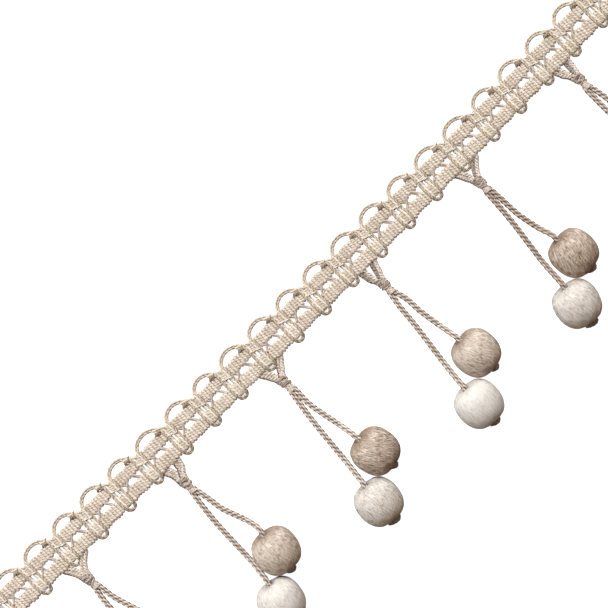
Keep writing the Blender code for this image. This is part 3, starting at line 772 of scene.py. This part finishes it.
for place, (drop, shades) in enumerate(zip(DROPS, LEG_SHADES), start=1):
    kx, ky = drop["knot"]
    meet_x, meet_y = drop["meet"]
    node = f"drop_{place}"
    loop = Piece()
    lift = float(bow(kx))
    chance.normal(size=12)   # drawn and not used; the knots' turns take the draws after these
    # Legs. The right one lies on the left one where they meet
    for sign, top_x, pair in zip((-1, 1), drop["legs"], shades):
        near_x = meet_x + sign * LEG_MEET
        neck_x = kx * 0.6 + meet_x * 0.4 + sign * 0.95
        half_y = (meet_y - 5.2) / 2
        for strand_side, shade in zip((sign, -sign), pair):
            shift = strand_side * LEG_APART
            line = np.array([
                (top_x + shift, LEG_TOP + lift, 0.72),
                (top_x * 0.93 + near_x * 0.07 + shift * 1.05, LEG_TOP - 1.0 + lift, LEG_HEIGHT),
                (top_x * 0.45 + near_x * 0.55 + shift * 1.05, half_y + lift * 0.5, LEG_HEIGHT),
                (near_x + shift * 0.95, meet_y, 0.68 + 0.12 * (sign > 0)),
                (neck_x + shift * 0.72, (meet_y + ky) / 2 + 0.5, 0.85 + 0.2 * (sign > 0)),
                (kx + sign * 0.6 + shift * 0.55, ky + 0.3, 1.15),
            ])
            strand(
                loop, line, LEG_CUT[0], tall=LEG_CUT[1], plies=3, lay=2.9, spread=0.2, per_ply=6,
                phase=place + strand_side, tint=0.4 + 0.25 * (strand_side > 0),
                finish=BROWN_LEG if shade == BROWN else LEG,
            )
            if shade == EDGED:
                strand(
                    loop, line + (strand_side * EDGE_THREAD_OUT, 0.0, EDGE_THREAD_UP), EDGE_THREAD,
                    plies=2, lay=1.9, spread=0.3, tint=0.3, finish=BROWN_LEG, dim=0.35,
                )
    # Knot
    knot_line = [(kx, ky + 1.5, 1.2), (kx, ky, 1.3), (kx, ky - 1.8, 1.2)]
    strand(loop, knot_line, KNOT_CORE[0], tall=KNOT_CORE[1], finish=KNOT, **SOFT_YARN)
    for turn in range(KNOT_TURNS):
        level = ky + KNOT_TOP - turn * KNOT_PITCH
        stray = chance.normal(0.0, KNOT_STRAY, 4)
        reach = KNOT_REACH - KNOT_NARROWS * abs(turn - KNOT_TURNS / 2) / (KNOT_TURNS / 2)
        strand(
            loop, [
                (kx - reach, level + stray[0] + 0.2, 1.15), (kx - 0.6, level + stray[1], 2.2),
                (kx + 0.5, level + stray[2], 2.3), (kx + reach, level + stray[3] - 0.2, 1.2),
            ], KNOT_THREAD, plies=2, lay=1.5, spread=0.35, tint=0.3 + 0.4 * (turn % 2),
            finish=BROWN_LEG if turn % 4 == 2 else KNOT,
        )
    # Binding, round a core of the cords' upper ends
    coil(
        loop, (kx, ky - BINDING_MIDDLE, 1.2), np.array([0.0, -1.0, 0.0]), BINDING_RING, BINDING_THREAD,
        BINDING_TURNS, BINDING_PITCH, plies=2, lay=1.6, spread=0.25, per_ply=4, tint=0.6, finish=BINDING,
    )
    core_line = [(kx, ky - 1.0, 1.15), (kx, ky - 2.5, 1.15), (kx, ky - 4.1, 1.1)]
    strand(loop, core_line, BINDING_CORE, finish=KNOT, **SOFT_YARN)
    loop_finishes = [leg_finish, knot_finish, dark_leg_finish, binding_finish]
    loop.sew(f"{node}_loop", loop_finishes, [node])
    # Cords and end knots
    cords = Piece()
    for sign, side_name, bead_name in ((-1, "left", "ivory"), (1, "right", "taupe")):
        upper_point, bend = drop[side_name]
        centre, axis = bead_frame(*drop[bead_name])
        approach = centre + axis * CORD_APPROACH
        path, _ = through([
            (kx + sign * 0.45, ky - 2.6, 1.05), (kx + sign * 0.78, ky - 4.3, 0.98),
            (*upper_point, CORD_LIES), (*bend, CORD_LIES),
            (*(approach[:2] * 0.6 + np.array(bend) * 0.4), CORD_LIES),
            (approach[0], approach[1], approach[2] * 0.86),
            centre + axis * CORD_ENTERS, centre + axis * CORD_STOPS,
        ], CORD_STEP)
        path[:, 2] = np.maximum(path[:, 2], CORD_RADIUS)
        # The twist is counted along the table, so it loosens where the cord climbs to its bead
        plied(
            cords, path, distances(path[:, :2]), CORD_RADIUS, CORD_PLIES, CORD_LAY, spread=0.36,
            per_ply=11, phase=place * 1.3 + sign, dashes=CORD_DASHES, dash_height=CORD_DASH_HEIGHT,
            tint=drop["tone"], finish=CORD,
        )
        knot_centre = centre + axis * END_KNOT_AT
        width = drop["ends"][sign > 0] / 2
        coil(
            cords, knot_centre, axis, width - 0.55, 0.55, 1.3, 0.3, tilt=0.15, tint=0.3, finish=END_KNOT,
            **SOFT_YARN,
        )
        coil(
            cords, knot_centre - axis * 0.3, axis + (0.1, 0.0, 0.0), max(width - 0.95, 0.4), 0.5, 1.25,
            0.25, tilt=-0.1, tint=0.6, finish=END_KNOT, **SOFT_YARN,
        )
    cords.sew(f"{node}_cords", [cord_finish, shaded_end_finish], [node])


# Beads. Each is a turned core wound from pole to pole with fine glossy thread, ivory on the long
# cord and taupe on the short one. The threads crowd into a dimple at both ends of the bore.
BEAD_PROFILE = (         # distance from the axis, and height along it
    (1.28, 4.5), (1.3, 5.6), (1.75, 6.4), (2.55, 6.82), (3.6, 6.76), (4.75, 6.28), (5.85, 5.22), (6.7, 3.7),
    (7.12, 2.1), (7.22, 0.4), (7.12, -1.3), (6.72, -3.0), (5.95, -4.6), (4.95, -5.75), (3.85, -6.4),
    (2.9, -6.62), (2.05, -6.45), (1.5, -6.0), (1.28, -5.2),
)
BEAD_THREADS = 150
BEAD_ROWS = 38
POLE_HEIGHT = 7.0
THREAD_RIDGE = 0.085     # half the height of a bundle of threads
FULL_RIDGES_AT = 5.5     # from the axis; nearer to it they sink where the threads crowd
WINDING_LUMPS = ((3, 0.05), (7, 0.035), (17, 0.03), (31, 0.025))     # how many round, and how high
THREAD_GRAIN = (290.0, 4.5)          # how fast the threads' streaks change, across and along
THREAD_TICKS = (300.0, 18.0)
THREAD_STREAKS = (125.0, 2.2)
WINDING_PATCHES = 160.0
SILK_RELIEF = 0.00016
IVORY_SHADES = (0.55, 0.9, 0.4, 1.05, 0.45, 0.55)
TAUPE_SHADES = (0.5, 0.65, 0.35, 0.7, 0.4, 0.5)
IVORY_LEANS = (0.16, 0.1, 0.22, 0.06, 0.2, 0.16)     # turn of the winding from the middle to a pole
TAUPE_LEANS = (0.3, 0.2, 0.55, 0.3, -0.35, 0.3)


def silk_finish(name, pale, middle, dark, dimple_shade_colour, dimple, low_side_shade):
    """Fine glossy thread laid side by side: broken streaks from pole to pole, mottled by the winding, with
    painted shade round the dimple and towards the end knot.
    """
    finish = Finish(name)
    across, along = finish.across_and_along()
    wander = across + (finish.noise(finish.place(), 200.0) - 0.5) * 0.02
    grain, ticks, streak = (
        finish.noise(finish.point(wander * fast, along * slow), 1.0, detail, 0.6)
        for (fast, slow), detail in ((THREAD_GRAIN, 2.0), (THREAD_TICKS, 1.0), (THREAD_STREAKS, 2.0))
    )
    broad = finish.noise(finish.place(), WINDING_PATCHES)
    sharp = finish.steps(grain * 0.7 + ticks * 0.3, 0.4, 0.6)
    tint = finish.mark("tint")
    light = finish.steps(sharp * 0.5 + streak * 0.45 + broad * 0.35 + (tint - 0.5) * 0.5, 0.35, 0.85)
    colour = finish.blend(light, dye(middle), dye(pale))
    # Browner round the dimple where the cord goes in: the threads crowd there, and the rest is painted
    # shade in the hollow
    dimple_shade = finish.steps(0.8 - along + (broad - 0.5) * 0.4, 0.0, 0.5) * dimple
    colour = finish.blend(dimple_shade, colour, dye(dimple_shade_colour))
    # Towards the end knot each bead is darkened and warmed: painted shade on its low side, away from the
    # lamp, most of all on the darker beads
    share = finish.steps(along + (broad - 0.5) * 0.5, 1.25, 2.05) * (1.15 - tint)
    colour = finish.blend(share, colour, low_side_shade, way="MULTIPLY")
    deep = finish.steps((1.0 - sharp) * 0.6 + (0.5 - streak) * 0.9, 0.2, 0.86) * (1.0 - tint * 0.5)
    finish.raise_fibres(sharp * 0.6 + streak * 0.6, 0.8, SILK_RELIEF)
    finish.surface(
        Base_Color=finish.blend(deep, colour, dye(dark)), Roughness=0.42 + sharp * 0.15,
        Specular_IOR_Level=1.0, Sheen_Weight=0.22, Sheen_Roughness=0.35, Sheen_Tint=(*dye(pale), 1.0),
    )
    return finish


ivory_finish = silk_finish(
    "ivory_silk_wound", "fefbf6", "e2d7ca", "8c745b", "a48a6c", dimple=0.14, low_side_shade=(0.97, 0.8, 0.7),
)
taupe_finish = silk_finish(
    "taupe_silk_wound", "f6e8d9", "a07b59", "361f10", "85582f", dimple=0.6, low_side_shade=(0.6, 0.47, 0.4),
)
profile, far = through([(r, 0.0, s) for r, s in BEAD_PROFILE], 0.1)
even = np.linspace(0.0, far[-1], BEAD_ROWS)
radius, height = np.interp(even, far, profile[:, 0]), np.interp(even, far, profile[:, 2])
normal = np.stack([-np.gradient(height, even), np.gradient(radius, even)], axis=1)
normal /= np.linalg.norm(normal, axis=1)[:, None]
scale = np.clip(radius / FULL_RIDGES_AT, 0.15, 1.0)[:, None]
corner = np.arange(BEAD_THREADS * 2)
phi = corner / len(corner) * 2 * np.pi
for place, drop in enumerate(DROPS, start=1):
    for kind, finish, tints, leans in (
        ("ivory", ivory_finish, IVORY_SHADES, IVORY_LEANS),
        ("taupe", taupe_finish, TAUPE_SHADES, TAUPE_LEANS),
    ):
        centre, axis = bead_frame(*drop[kind])
        side = np.cross(axis, (0.0, 0.0, 1.0))
        side /= np.linalg.norm(side)
        over = np.cross(side, axis)
        lumps = sum(size * np.cos(phi * waves + chance.uniform(0, 6.3)) for waves, size in WINDING_LUMPS)
        crest = np.where(corner % 2 == 0, 0.5, -0.5) * chance.uniform(0.6, 1.4, len(corner))
        raised = (crest * THREAD_RIDGE + lumps) * scale
        reach = radius[:, None] + raised * normal[:, :1]
        level = height[:, None] + raised * normal[:, 1:]
        turn = phi[None, :] + (leans[place - 1] * height / POLE_HEIGHT)[:, None]
        grid = (
            centre + axis * level[..., None] + side * (reach * np.cos(turn))[..., None]
            + over * (reach * np.sin(turn))[..., None]
        )
        wound = Piece()
        wound.lay(
            grid[::-1], (np.arange(len(corner) + 1) / len(corner))[None, :], (even[::-1] / 10)[:, None],
            0.5 - crest * 0.8, tints[place - 1],
        )
        wound.sew(f"{kind}_bead_{place}_wound", [finish], [f"{kind}_bead_{place}"])
